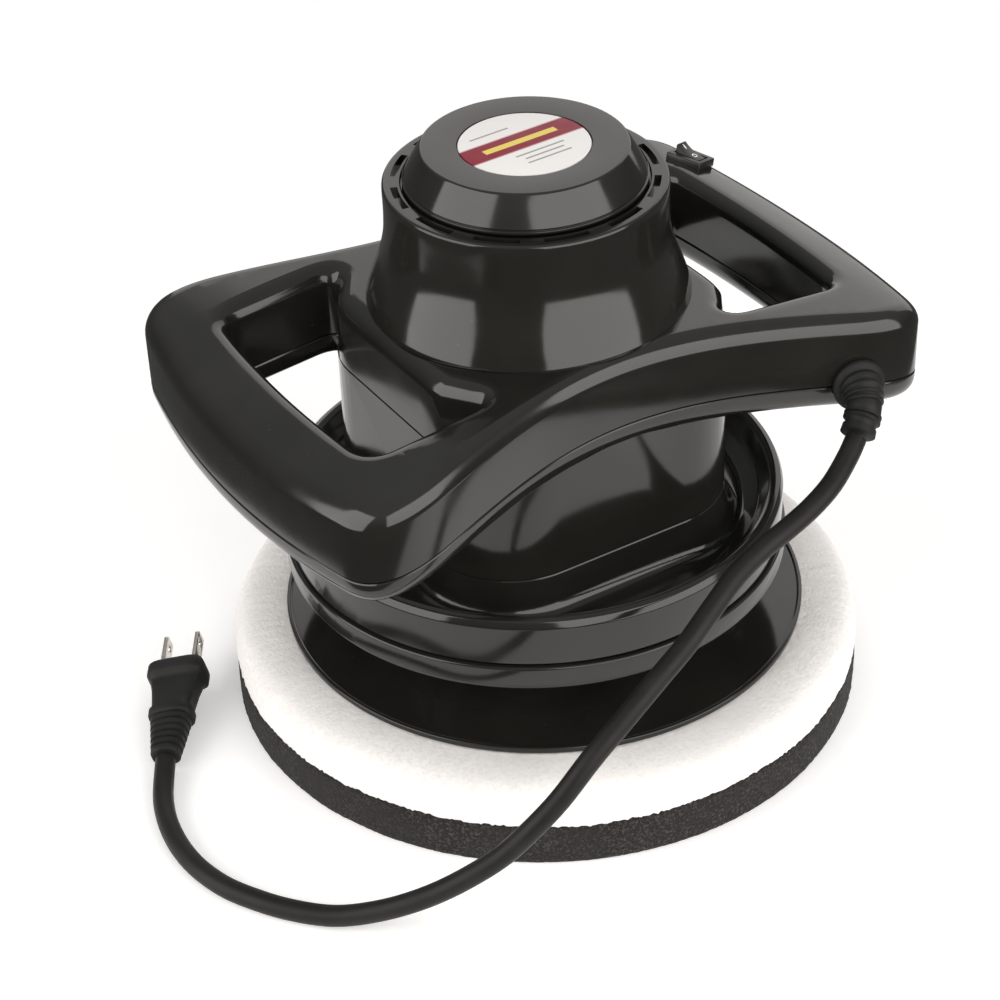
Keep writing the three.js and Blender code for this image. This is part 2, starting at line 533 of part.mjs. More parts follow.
// Electrical parts inside the neck and handle
add('rectifier_board', block(34, 1.6, 22, 0, 49, 150), boardGreen);
const leadPath = (points) => new THREE.CatmullRomCurve3(points.map((p) => new THREE.Vector3(...p)));
function lead(name, points, material) {
  const section = new THREE.Shape().absarc(0, 0, 1.1, 0, 2 * Math.PI);
  const steps = 2 * points.length;
  const options = { steps, curveSegments: 3, extrudePath: leadPath(points) };
  add(name, new THREE.ExtrudeGeometry(section, options), material);
}
lead('supply_lead', [
  [86, -72, 144], [90, -66, 146], [100, -58, 146], [110, -40, 144], [113, 0, 144],
  [110, 36, 144], [109, 46, 141],
], blackSatin);
lead('switched_lead', [
  [104, 60, 141], [97, 62, 146], [74, 60, 152], [50, 56, 154], [30, 54, 154], [18.5, 52, 152],
], redLead);

// Power cord: it springs out of the relief, droops round the pad and lies on the table up to the plug
const cordRoute = [
  [65, -102, 127.4], [54.1, -107.5, 123.6], [43.3, -110.5, 120], [32.3, -112, 116.6],
  [19.9, -113.5, 113.4], [7.9, -115.5, 109], [-5.1, -118.5, 101.3], [-17.7, -122, 94.4], [-32.7, -125, 87],
  [-47.2, -127.5, 79.1], [-61.1, -129, 70.3], [-73.7, -128.5, 57.9],
  [-84.7, -125.5, 46.4], [-94, -120.5, 35.6],
  [-106.3, -112, 23.9], [-117, -103, 14.8], [-128, -94, 8.6], [-139, -84.5, 4.9], [-149, -73.4, 3.95],
  [-157, -62, 3.95], [-164, -48, 3.95], [-167.5, -31, 3.95], [-166.5, -13, 3.95],
  [-161.5, 4, 4.2], [-151.6, 22, 5.9],
].map((p) => new THREE.Vector3(...p));
const cordTop = cordStart.clone().addScaledVector(cordOut, GAP);
const cordCurve = new THREE.CatmullRomCurve3([cordTop, ...cordRoute]);
const cordSection = new THREE.Shape().absarc(0, 0, CORD_RADIUS, 0, 2 * Math.PI);
const cordOptions = { steps: 52, curveSegments: 4, extrudePath: cordCurve };
add('power_cord', new THREE.ExtrudeGeometry(cordSection, cordOptions), rubber);

// Plug: a waisted body between two flanges, a tapered tail and two flat blades
const plugRear = new THREE.Vector3(-151, 23.1, 6.05);
const plugDirection = new THREE.Vector3(0.552, 0.827, 0.107).normalize();
const PLUG_LENGTH = 47;
const PLUG_ROLL = 13 * Math.PI / 180;
function inPlug(geometry) {
  const up = new THREE.Vector3(0, 0, 1);
  const left = new THREE.Vector3().crossVectors(up, plugDirection).normalize();
  const top = new THREE.Vector3().crossVectors(plugDirection, left);
  const frame = new THREE.Matrix4().makeBasis(left, top, plugDirection).setPosition(plugRear);
  return geometry.rotateZ(-PLUG_ROLL).applyMatrix4(frame);
}
const plugTail = new THREE.CylinderGeometry(7.4, 4.9, 21, 16).rotateX(Math.PI / 2);
plugTail.scale(1.12, 0.8, 1).translate(0, 0, 10.5);
let plug = solid(inPlug(plugTail));
const plugSections = [[8.6, 6.4, 19, 24], [8.8, 5.6, 23, 42], [11.2, 7.6, 39.5, PLUG_LENGTH]];
for (const [halfX, halfY, from, to] of plugSections) {
  plug = plug.add(solid(inPlug(slab(roundedRectangle(halfX, halfY, 3), from, to, 3))));
}
add('plug_body', plug, rubber);
for (const [side, label] of [[1, 'left'], [-1, 'right']]) {
  const blade = solid(block(1.5, 6.35, 16.6, side * 6.35, 0, PLUG_LENGTH + GAP + 8.3));
  const bladeHole = new THREE.CylinderGeometry(1.6, 1.6, 6, 12).rotateZ(Math.PI / 2);
  bladeHole.translate(side * 6.35, 0, PLUG_LENGTH + 11.9);
  add(`plug_blade_${label}`, inPlug(geometryOf(blade.subtract(solid(bladeHole)))), nickel);
}

export default group;
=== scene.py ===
"""Looks of a two-handed random-orbit polisher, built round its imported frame. Lengths are in millimetres."""

import json
import math

import bmesh
import bpy
from mathutils import Matrix, Vector, noise


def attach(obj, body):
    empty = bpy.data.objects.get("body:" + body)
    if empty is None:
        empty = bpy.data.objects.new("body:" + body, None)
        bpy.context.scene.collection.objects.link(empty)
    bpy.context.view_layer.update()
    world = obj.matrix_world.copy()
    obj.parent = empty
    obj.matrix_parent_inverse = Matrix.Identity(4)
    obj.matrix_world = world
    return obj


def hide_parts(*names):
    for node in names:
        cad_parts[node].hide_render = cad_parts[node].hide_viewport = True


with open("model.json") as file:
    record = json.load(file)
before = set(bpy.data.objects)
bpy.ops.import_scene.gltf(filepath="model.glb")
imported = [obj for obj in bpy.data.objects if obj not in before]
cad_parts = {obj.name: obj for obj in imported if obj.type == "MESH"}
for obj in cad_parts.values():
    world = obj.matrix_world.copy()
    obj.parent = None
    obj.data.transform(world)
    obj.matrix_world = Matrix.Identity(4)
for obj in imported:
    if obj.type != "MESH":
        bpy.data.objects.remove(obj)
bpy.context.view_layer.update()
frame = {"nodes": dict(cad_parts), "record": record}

MM = 0.001
FULL_TURN = 2 * math.pi

# Driving dimensions, as in the solids but for the neck's corner, the seam and the loops' inner corners
PAD_RADIUS = 120
PAD_SEAM = 16.5
PLATE_RADIUS = 98.9
PLATE_TOP = 36
ORBIT = 4
ORBIT_ANGLE = math.radians(17)
RING_BOTTOM = 61
RING_TOP = 70.7
RING_RADIUS = 93.9
DISH_RADIUS = 92.6
DISH_TOP = 90
DISH_FLOOR = 77
NECK_HALF = 60
NECK_CORNER = 33
NECK_SEAM = 91
WALL = 2.5
SEAM_GAP = 0.25
SEAM_HEIGHT = 143
UPPER_SHELL = 27
LOWER_SHELL = 11
WAIST_HALF = 61
GRIP_ROLL = 3.0
ROLL_START = 100
ROLL_SPAN = 25
END_FLARE = 31
FLARE_SPAN = 140
END_REACH = 125.5
END_BOW = 9.7
CORNER_START = 84
CORNER_DROP = 22
LOOP_OUTER = 99
LOOP_OUTER_BOW = 2.8
LOOP_HALF = 53
LOOP_CORNER = 14
LOOP_INNER_CORNER = 17
COVER_TOP = 213.5
COVER_RADIUS = 50
CAP_TOP = 226
CAP_RADIUS = 36.2
CAP_EDGE = 42.8
LABEL_RADIUS = 23
CORD_RADIUS = 3.85
SWITCH_PLACE = Vector((110, 55, 0))
SWITCH_TURN = math.radians(20)
GLAND_PLACE = Vector((84.6, -81.5, 140.5))
GLAND_OUT = Vector((-0.314, -0.949, 0)).normalized()
PLUG_REAR = Vector((-151, 23.1, 6.05))
PLUG_DIRECTION = Vector((0.552, 0.827, 0.107)).normalized()
PLUG_ROLL = math.radians(13)
PLUG_LENGTH = 47
BLADE_WIDTH = 6.35
BLADE_SPACING = 12.7

pad_centre = (ORBIT * math.cos(ORBIT_ANGLE), ORBIT * math.sin(ORBIT_ANGLE))


def arch(x):
    """Height of the seam between the handle shells."""
    return SEAM_HEIGHT - 12.5 * (x / 165) ** 2 - 12 * (x / 165) ** 4


# Camera
AZIMUTH, ELEVATION, ROLL = math.radians(-32), math.radians(38.62), math.radians(-1.595)
PAN, TILT = math.radians(0.8513), math.radians(3.4618)
DISTANCE = 1033.3
LENS = 94.62


def place_camera():
    back = Vector((math.sin(AZIMUTH) * math.cos(ELEVATION), -math.cos(AZIMUTH) * math.cos(ELEVATION),
                   math.sin(ELEVATION)))
    right = Vector((math.cos(AZIMUTH), math.sin(AZIMUTH), 0))
    level = Matrix((right, back.cross(right), back))
    aim = Vector((math.tan(PAN), -math.tan(TILT), -1)).normalized()
    swing = Vector((0, 0, -1)).rotation_difference(aim).to_matrix()
    turn = swing @ Matrix.Rotation(-ROLL, 3, "Z") @ level
    data = bpy.data.cameras.new("camera")
    data.lens = LENS
    data.sensor_width = 36
    data.clip_start = 0.05
    camera = bpy.data.objects.new("camera", data)
    camera.matrix_world = Matrix.Translation(back * DISTANCE * MM) @ turn.transposed().to_4x4()
    bpy.context.scene.collection.objects.link(camera)
    bpy.context.scene.camera = camera


place_camera()


# Materials
class Finish:
    """A material whose nodes all read Object coordinates."""

    def __init__(self, name, colour, roughness, metallic=0.0, **sockets):
        self.material = bpy.data.materials.new(name)
        self.material.use_nodes = True
        self.tree = self.material.node_tree
        self.shader = self.tree.nodes["Principled BSDF"]
        self.shader.inputs["Base Color"].default_value = (*colour, 1)
        self.shader.inputs["Roughness"].default_value = roughness
        self.shader.inputs["Metallic"].default_value = metallic
        for socket, value in sockets.items():
            self.shader.inputs[socket.replace("_", " ")].default_value = value
        self.place = self.add("ShaderNodeTexCoord").outputs["Object"]
        self.normal = None

    def add(self, kind, **settings):
        made = self.tree.nodes.new(kind)
        for key, value in settings.items():
            setattr(made, key, value)
        return made

    def link(self, start, end):
        self.tree.links.new(start, end)

    def noise(self, scale, detail=3.0, roughness=0.5, place=None):
        made = self.add("ShaderNodeTexNoise")
        made.inputs["Scale"].default_value = scale
        made.inputs["Detail"].default_value = detail
        made.inputs["Roughness"].default_value = roughness
        self.link(place or self.place, made.inputs["Vector"])
        return made.outputs["Fac"]

    def cells(self, scale, feature="F1", place=None):
        made = self.add("ShaderNodeTexVoronoi", feature=feature)
        made.inputs["Scale"].default_value = scale
        self.link(place or self.place, made.inputs["Vector"])
        return made.outputs["Distance"]

    def span(self, value, low, high, new_low=0.0, new_high=1.0):
        made = self.add("ShaderNodeMapRange")
        sockets = ("From Min", "From Max", "To Min", "To Max")
        for socket, number in zip(sockets, (low, high, new_low, new_high)):
            made.inputs[socket].default_value = number
        self.link(value, made.inputs["Value"])
        return made.outputs["Result"]

    def sum(self, first, second, operation="ADD"):
        made = self.add("ShaderNodeMath", operation=operation)
        for socket, value in zip(made.inputs, (first, second)):
            if isinstance(value, (int, float)):
                socket.default_value = value
            else:
                self.link(value, socket)
        return made.outputs["Value"]

    def mix(self, factor, first, second):
        made = self.add("ShaderNodeMix", data_type="RGBA")
        self.link(factor, made.inputs["Factor"])
        for socket, value in ((made.inputs["A"], first), (made.inputs["B"], second)):
            if isinstance(value, tuple):
                socket.default_value = (*value, 1)
            else:
                self.link(value, socket)
        return made.outputs["Result"]

    def colour(self, value):
        self.link(value, self.shader.inputs["Base Color"])

    def rough(self, value):
        self.link(value, self.shader.inputs["Roughness"])

    def bump(self, height, strength, distance):
        made = self.add("ShaderNodeBump")
        made.inputs["Strength"].default_value = strength
        made.inputs["Distance"].default_value = distance
        self.link(height, made.inputs["Height"])
        if self.normal:
            self.link(self.normal, made.inputs["Normal"])
        self.normal = made.outputs["Normal"]
        self.link(self.normal, self.shader.inputs["Normal"])


def polished_plastic(name, base, low, high):
    """Moulded black plastic: faint flow waves, a fine skin, hazy patches and a few specks of dust."""
    finish = Finish(name, base, low, Specular_IOR_Level=0.5)
    finish.rough(finish.span(finish.noise(45, 4), 0.35, 0.7, low, high))
    finish.bump(finish.noise(22, 1), 0.12, 0.0006)
    finish.bump(finish.noise(1800, 2), 0.05, 0.00006)
    specks = finish.span(finish.cells(260), 0.045, 0.03)
    sparse = finish.span(finish.noise(75, 1), 0.6, 0.66)
    haze = finish.span(finish.noise(30, 3), 0.4, 0.75)
    tinted = finish.mix(haze, base, tuple(1.35 * c for c in base))
    finish.colour(finish.mix(finish.sum(specks, sparse, "MULTIPLY"), tinted, (0.18, 0.17, 0.16)))
    return finish.material


def flexible_vinyl(name, base, low, high, skin):
    finish = Finish(name, base, low, Specular_IOR_Level=0.2)
    finish.rough(finish.span(finish.noise(120, 4), 0.3, 0.7, low, high))
    finish.bump(finish.noise(1400, 4), skin, 0.0001)
    wear = finish.span(finish.noise(60, 5), 0.45, 0.7)
    finish.colour(finish.mix(wear, base, tuple(1.6 * c for c in base)))
    return finish.material


def fibrous_foam(name):
    """Soft white felted foam: fine tangled fibres, shallow pits, and a warm painted shade in the hollows of
    the tangle.
    """
    white = (0.84, 0.825, 0.81)
    finish = Finish(name, white, 0.95, Subsurface_Weight=0.12, Sheen_Weight=0.25)
    finish.shader.inputs["Subsurface Radius"].default_value = (0.004, 0.0037, 0.0034)
    fine = finish.noise(1500, 5, 0.7)
    tangle = finish.noise(520, 4, 0.65)
    pits = finish.span(finish.cells(620), 0.0, 0.5)
    finish.bump(tangle, 0.4, 0.0006)
    finish.bump(finish.sum(fine, pits, "MULTIPLY"), 0.5, 0.0004)
    # painted shade: the white greys to a warm tone where the fibre tangle's bump sinks
    hollow_painted_shade = finish.span(tangle, 0.56, 0.3)
    shaded_white = finish.mix(hollow_painted_shade, white, (0.73, 0.71, 0.695))
    patches = finish.span(finish.noise(28, 3), 0.35, 0.75)
    finish.colour(finish.mix(patches, shaded_white, (0.80, 0.785, 0.77)))
    return finish.material


def porous_foam(name):
    """Fine-pored charcoal foam with open cells, and a painted highlight that makes the raised grain paler."""
    dark = (0.012, 0.0115, 0.011)
    finish = Finish(name, dark, 0.9, Sheen_Weight=0.03, Specular_IOR_Level=0.25)
    pores = finish.cells(1300)
    grains = finish.noise(900, 4, 0.7)
    finish.bump(finish.span(pores, 0.1, 0.6), 0.7, 0.0005)
    finish.bump(grains, 0.4, 0.0004)
    # painted highlight: the charcoal pales where the grain's bump rises
    raised_grain_highlight = finish.span(grains, 0.5, 0.66)
    highlighted_charcoal = finish.mix(raised_grain_highlight, dark, (0.075, 0.067, 0.062))
    patches = finish.span(finish.noise(40, 3), 0.4, 0.75)
    finish.colour(finish.mix(patches, highlighted_charcoal, (0.017, 0.0155, 0.0145)))
    return finish.material


def metal(name, base, low, high, grain=900):
    finish = Finish(name, base, low, 1.0)
    finish.rough(finish.span(finish.noise(grain / 6, 4), 0.3, 0.7, low, high))
    finish.bump(finish.noise(grain, 3), 0.12, 0.00008)
    stain = finish.span(finish.noise(90, 4), 0.45, 0.75)
    finish.colour(finish.mix(stain, base, tuple(0.72 * c for c in base)))
    return finish.material


def dull_solid(name, base, low, high, grain=700):
    finish = Finish(name, base, low)
    finish.rough(finish.span(finish.noise(grain / 5, 3), 0.3, 0.7, low, high))
    finish.bump(finish.noise(grain, 4), 0.25, 0.00012)
    mottle = finish.span(finish.noise(140, 4), 0.4, 0.7)
    finish.colour(finish.mix(mottle, base, tuple(min(1.0, 1.4 * c + 0.004) for c in base)))
    return finish.material


def label_film(name):
    """Printed film: an off-white disc, a dark red band with pale edges, and a few plain grey rules."""
    paper = (0.80, 0.79, 0.78)
    red = (0.23, 0.008, 0.025)
    finish = Finish(name, paper, 0.45, Specular_IOR_Level=0.3)
    turned_place = finish.add("ShaderNodeMapping", vector_type="POINT")
    turned_place.inputs["Rotation"].default_value = (0, 0, math.radians(-2.5))
    finish.link(finish.place, turned_place.inputs["Vector"])
    split = finish.add("ShaderNodeSeparateXYZ")
    finish.link(turned_place.outputs["Vector"], split.inputs["Vector"])
    across, upward = split.outputs["X"], split.outputs["Y"]

    def bar(middle, half):
        offset = finish.sum(upward, middle * MM, "SUBTRACT")
        distance = finish.add("ShaderNodeMath", operation="ABSOLUTE")
        finish.link(offset, distance.inputs[0])
        return finish.span(distance.outputs["Value"], (half + 0.06) * MM, (half - 0.06) * MM)

    def inside(low, high):
        left = finish.span(across, (low - 0.06) * MM, (low + 0.06) * MM)
        right = finish.span(across, (high + 0.06) * MM, (high - 0.06) * MM)
        return finish.sum(left, right, "MULTIPLY")

    shade = finish.mix(bar(2.6, 5.7), paper, (0.52, 0.30, 0.33))
    shade = finish.mix(bar(2.6, 5.1), shade, red)
    shade = finish.mix(finish.sum(bar(2.6, 1.5), inside(-15, 15), "MULTIPLY"), shade, (0.75, 0.60, 0.12))
    for middle, low, high in ((-6.4, -8, 12), (-9.4, -6, 10), (-12.4, -7, 11), (13.0, -14, 2)):
        line = finish.sum(bar(middle, 0.45), inside(low, high), "MULTIPLY")
        shade = finish.mix(line, shade, (0.33, 0.32, 0.32))
    finish.colour(shade)
    finish.bump(finish.noise(1200, 2), 0.05, 0.00005)
    finish.rough(finish.span(finish.noise(200, 3), 0.3, 0.7, 0.4, 0.5))
    return finish.material


black_gloss = polished_plastic("polished_black_plastic", (0.0112, 0.0110, 0.0094), 0.09, 0.15)
black_satin = polished_plastic("satin_black_plastic", (0.010, 0.010, 0.0095), 0.3, 0.4)
cord_vinyl = flexible_vinyl("cord_vinyl", (0.010, 0.0098, 0.0092), 0.42, 0.55, 0.12)
moulded_vinyl = flexible_vinyl("moulded_vinyl", (0.012, 0.012, 0.012), 0.48, 0.62, 0.3)
white_foam = fibrous_foam("white_fibrous_foam")
grey_foam = porous_foam("charcoal_foam")
label = label_film("label_film")
mark_paint = dull_solid("mark_paint", (0.75, 0.75, 0.74), 0.4, 0.5)
slot_finish = {
    "black_gloss": black_gloss,
    "black_satin": black_satin,
    "black_rubber": moulded_vinyl,
    "white_foam": white_foam,
    "grey_foam": grey_foam,
    "label_paper": label,
    "steel": metal("machined_steel", (0.50, 0.51, 0.53), 0.24, 0.42),
    "nickel": metal("nickel_plate", (0.66, 0.63, 0.57), 0.16, 0.3, 1500),
    "brass": metal("stamped_brass", (0.70, 0.52, 0.20), 0.25, 0.4),
    "copper": metal("enamelled_copper", (0.62, 0.28, 0.13), 0.22, 0.4),
    "cast_metal": metal("die_cast_alloy", (0.46, 0.46, 0.48), 0.42, 0.6, 500),
    "ferrite": dull_solid("sintered_ferrite", (0.035, 0.035, 0.04), 0.6, 0.8),
    "carbon": dull_solid("pressed_carbon", (0.018, 0.018, 0.019), 0.45, 0.6),
    "circuit_board": dull_solid("laminate_board", (0.03, 0.16, 0.06), 0.35, 0.5),
    "red_lead": dull_solid("red_insulation", (0.40, 0.02, 0.02), 0.35, 0.5),
}

node_slot = {entry["node"]: entry["material_slot"] for entry in frame["record"]["subparts"]}
for node, part in frame["nodes"].items():
    part.data.materials.clear()
    part.data.materials.append(slot_finish[node_slot[node]])


# Mesh helpers
def rounded(corners, closed=True, segments=5):
    """A line with its corners eased; each entry is the two coordinates and the fillet."""
    line = []
    count = len(corners)
    for i, (u, v, fillet) in enumerate(corners):
        here = Vector((u, v))
        if not fillet or (not closed and i in (0, count - 1)):
            line.append(here)
            continue
        before = Vector(corners[i - 1][:2]) - here
        after = Vector(corners[(i + 1) % count][:2]) - here
        reach = fillet / math.tan(before.angle(after) / 2)
        reach = min(reach, 0.49 * before.length, 0.49 * after.length)
        start = here + before.normalized() * reach
        end = here + after.normalized() * reach
        for k in range(segments + 1):
            t = k / segments
            line.append((1 - t) ** 2 * start + 2 * t * (1 - t) * here + t * t * end)
    return line


def smooth_line(points, parts):
    """A smooth line through the points, with the same number of steps between each pair."""
    points = [Vector(p) for p in points]
    padded = [2 * points[0] - points[1], *points, 2 * points[-1] - points[-2]]
    line = []
    for a, b, c, d in zip(padded, padded[1:], padded[2:], padded[3:]):
        for k in range(parts):
            t = k / parts
            line.append(0.5 * (2 * b + (c - a) * t + (2 * a - 5 * b + 4 * c - d) * t ** 2
                               + (3 * b - a - 3 * c + d) * t ** 3))
    return [*line, points[-1]]


def faces_of(geometry):
    return [g for g in geometry if isinstance(g, bmesh.types.BMFace)]


def verts_of(geometry):
    return [g for g in geometry if isinstance(g, bmesh.types.BMVert)]


def loop_edges(bm, line):
    verts = [bm.verts.new(p) for p in line]
    return verts, [bm.edges.new(pair) for pair in zip(verts, [*verts[1:], verts[0]])]


def turned(line, steps=180, centre=(0, 0)):
    """A closed section line of radius and height, spun about an upright axis."""
    bm = bmesh.new()
    verts, edges = loop_edges(bm, [(centre[0] + r, centre[1], z) for r, z in line])
    bmesh.ops.spin(bm, geom=verts + edges, cent=(*centre, 0), axis=(0, 0, 1), angle=FULL_TURN,
                   steps=steps, use_merge=True)
    bmesh.ops.remove_doubles(bm, verts=bm.verts, dist=1e-4)
    return bm


def as_object(bm, name, sharp=38):
    """A finished object from a bmesh in millimetres, smooth except along its sharp edges."""
    bmesh.ops.recalc_face_normals(bm, faces=bm.faces)
    bmesh.ops.scale(bm, vec=(MM, MM, MM), verts=bm.verts)
    mesh = bpy.data.meshes.new(name)
    bm.to_mesh(mesh)
    bm.free()
    made = bpy.data.objects.new(name, mesh)
    bpy.context.scene.collection.objects.link(made)
    soften(made, sharp)
    return made


def soften(made, sharp):
    bm = bmesh.new()
    bm.from_mesh(made.data)
    for face in bm.faces:
        face.smooth = True
    for edge in bm.edges:
        edge.smooth = edge.calc_face_angle(0) < math.radians(sharp)
    bm.to_mesh(made.data)
    bm.free()


def combine(target, tool, operation):
    """Joins, cuts or keeps the common part of two closed objects; the tool is used up."""
    change = target.modifiers.new("combine", "BOOLEAN")
    change.operation = operation
    change.solver = "EXACT"
    change.object = tool
    shape = bpy.data.meshes.new_from_object(target.evaluated_get(bpy.context.evaluated_depsgraph_get()))
    target.modifiers.clear()
    target.data = shape
    bpy.data.objects.remove(tool)


def settle(made, finish, body, slot, *nodes):
    made.data.materials.clear()
    made.data.materials.append(finish)
    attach(made, body)
    if nodes:
        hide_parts(*nodes)
    return made


def upright_frame(origin, direction):
    """Axes for a section: its third axis runs along the direction and its second leans upwards."""
    along = direction.normalized()
    side = Vector((0, 0, 1)).cross(along)
    side = side.normalized() if side.length > 1e-3 else Vector((1, 0, 0))
    turn = Matrix((side, along.cross(side), along)).transposed()
    return Matrix.Translation(origin) @ turn.to_4x4()


def lofted(sections, segments=32):
    """A closed skin over sections; each is a placing matrix, two half widths and a squareness from 2 up."""
    bm = bmesh.new()
    loops = []
    for place, half_x, half_y, squareness in sections:
        ring = bmesh.ops.create_circle(bm, segments=segments, radius=1)["verts"]
        for vert in ring:
            u, v = vert.co.x, vert.co.y
            stretch = (abs(u) ** squareness + abs(v) ** squareness) ** (-1 / squareness)
            vert.co = place @ Vector((u * stretch * half_x, v * stretch * half_y, 0))
        loops.append(list({edge for vert in ring for edge in vert.link_edges}))
    for first, second in zip(loops, loops[1:]):
        bmesh.ops.bridge_loops(bm, edges=first + second)
    for end in (loops[0], loops[-1]):
        bmesh.ops.contextual_create(bm, geom=end)
    return bm


# Power cord
cord_route = [
    (71.6, -98.1, 130.4), (65, -102, 127.4), (54.1, -107.5, 123.6), (43.3, -110.5, 120),
    (32.3, -112, 116.6), (19.9, -113.5, 113.4), (7.9, -115.5, 109), (-5.1, -118.5, 101.3),
    (-17.7, -122, 94.4), (-32.7, -125, 87), (-47.2, -127.5, 79.1), (-61.1, -129, 70.3),
    (-73.7, -128.5, 57.9), (-84.7, -125.5, 46.4), (-94, -120.5, 35.6), (-106.3, -112, 23.9),
    (-117, -103, 14.8), (-128, -94, 8.6), (-139, -84.5, 4.9), (-149, -73.4, 3.95),
    (-157, -62, 3.95), (-164, -48, 3.95), (-167.5, -31, 3.95), (-166.5, -13, 3.95),
    (-161.5, 4, 4.2), (-151.6, 22, 5.9),
]


def make_cord():
    line = smooth_line(cord_route, 5)
    curve = bpy.data.curves.new("mains_cord", "CURVE")
    curve.dimensions = "3D"
    spline = curve.splines.new("POLY")
    spline.points.add(len(line) - 1)
    for point, place in zip(spline.points, line):
        point.co = (*(place * MM), 1)
    spline.use_smooth = True
    curve.bevel_depth = CORD_RADIUS * MM
    curve.bevel_resolution = 6
    curve.use_fill_caps = True
    cord = bpy.data.objects.new("mains_cord", curve)
    bpy.context.scene.collection.objects.link(cord)
    curve.materials.append(cord_vinyl)
    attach(cord, "housing")
    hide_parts("power_cord")
    return cord, sum((b - a).length for a, b in zip(line, line[1:]))


cord, cord_length = make_cord()


# Plug: a waisted grip between two flanges, a ribbed tail and rounded blades
def plug_place(distance):
    side = Vector((0, 0, 1)).cross(PLUG_DIRECTION).normalized()
    top = PLUG_DIRECTION.cross(side)
    turn = Matrix((side, top, PLUG_DIRECTION)).transposed() @ Matrix.Rotation(-PLUG_ROLL, 3, "Z")
    return Matrix.Translation(PLUG_REAR + PLUG_DIRECTION * distance) @ turn.to_4x4()


def make_plug():
    sections = [(0.4, 4.6, 4.0, 2.0), (0.4, 5.2, 4.6, 2.0)]
    for i in range(6):
        start = 1.0 + 3.1 * i
        width, depth = 5.5 + 0.42 * i, 4.9 + 0.17 * i
        sections += [
            (start, width, depth, 2.8), (start + 1.7, width + 0.1, depth + 0.1, 2.8),
            (start + 2.0, width - 0.9, depth - 0.8, 2.6), (start + 2.8, width - 0.8, depth - 0.7, 2.6),
        ]
    sections += [
        (19.6, 8.3, 6.1, 3.2), (20.2, 8.6, 6.4, 3.4), (22.9, 8.7, 6.4, 3.4), (23.4, 8.0, 5.7, 4.0),
        (24.0, 7.6, 5.1, 5.0), (28, 7.9, 5.0, 6.0), (33, 8.6, 5.1, 6.0), (37.4, 9.6, 5.3, 6.0),
        (39.4, 10.2, 5.6, 6.0), (40.2, 10.9, 6.9, 5.0), (40.7, 11.2, 7.4, 5.0),
        (45.4, 11.2, 7.5, 5.0), (46.4, 10.8, 7.1, 5.0), (46.9, 9.9, 6.3, 4.6),
    ]
    bm = lofted([(plug_place(z), x, y, n) for z, x, y, n in sections], 48)
    return settle(as_object(bm, "plug_moulding", 50), moulded_vinyl, "housing", "black_rubber", "plug_body")


plug = make_plug()


def make_blade(side, name):
    """A flat blade with a rounded tip and a through hole, as wide as its solid."""
    half, length, thick = BLADE_WIDTH / 2, 16.6, 1.5
    place = side * BLADE_SPACING / 2
    bm = bmesh.new()
    outline = rounded([(-half, 0, 0), (half, 0, 0), (half, length, 1.6), (-half, length, 1.6)])
    _, edges = loop_edges(bm, [(0, u, v) for u, v in outline])
    hole = Matrix.Translation((0, 0, 11.9)) @ Matrix.Rotation(math.pi / 2, 4, "Y")
    ring = bmesh.ops.create_circle(bm, segments=28, radius=1.6, matrix=hole)
    edges += list({edge for vert in ring["verts"] for edge in vert.link_edges})
    bmesh.ops.triangle_fill(bm, edges=edges, use_beauty=True)
    bmesh.ops.translate(bm, verts=bm.verts, vec=(place - thick / 2, 0, 0))
    bmesh.ops.recalc_face_normals(bm, faces=bm.faces)
    bmesh.ops.solidify(bm, geom=bm.faces, thickness=thick)
    bm.normal_update()
    middle = sum((v.co.x for v in bm.verts), 0) / len(bm.verts)
    bmesh.ops.translate(bm, verts=bm.verts, vec=(place - middle, 0, 0))
    rims = [edge for edge in bm.edges if edge.calc_face_angle(0) > 1.2]
    bmesh.ops.bevel(bm, geom=rims, offset=0.18, segments=2, profile=0.5, affect="EDGES", material=-1)
    bmesh.ops.transform(bm, matrix=plug_place(PLUG_LENGTH + 0.3), verts=bm.verts)
    made = as_object(bm, name)
    return settle(made, slot_finish["nickel"], "housing", "nickel", name.replace("contact", "plug"))


blades = [make_blade(1, "contact_blade_left"), make_blade(-1, "contact_blade_right")]


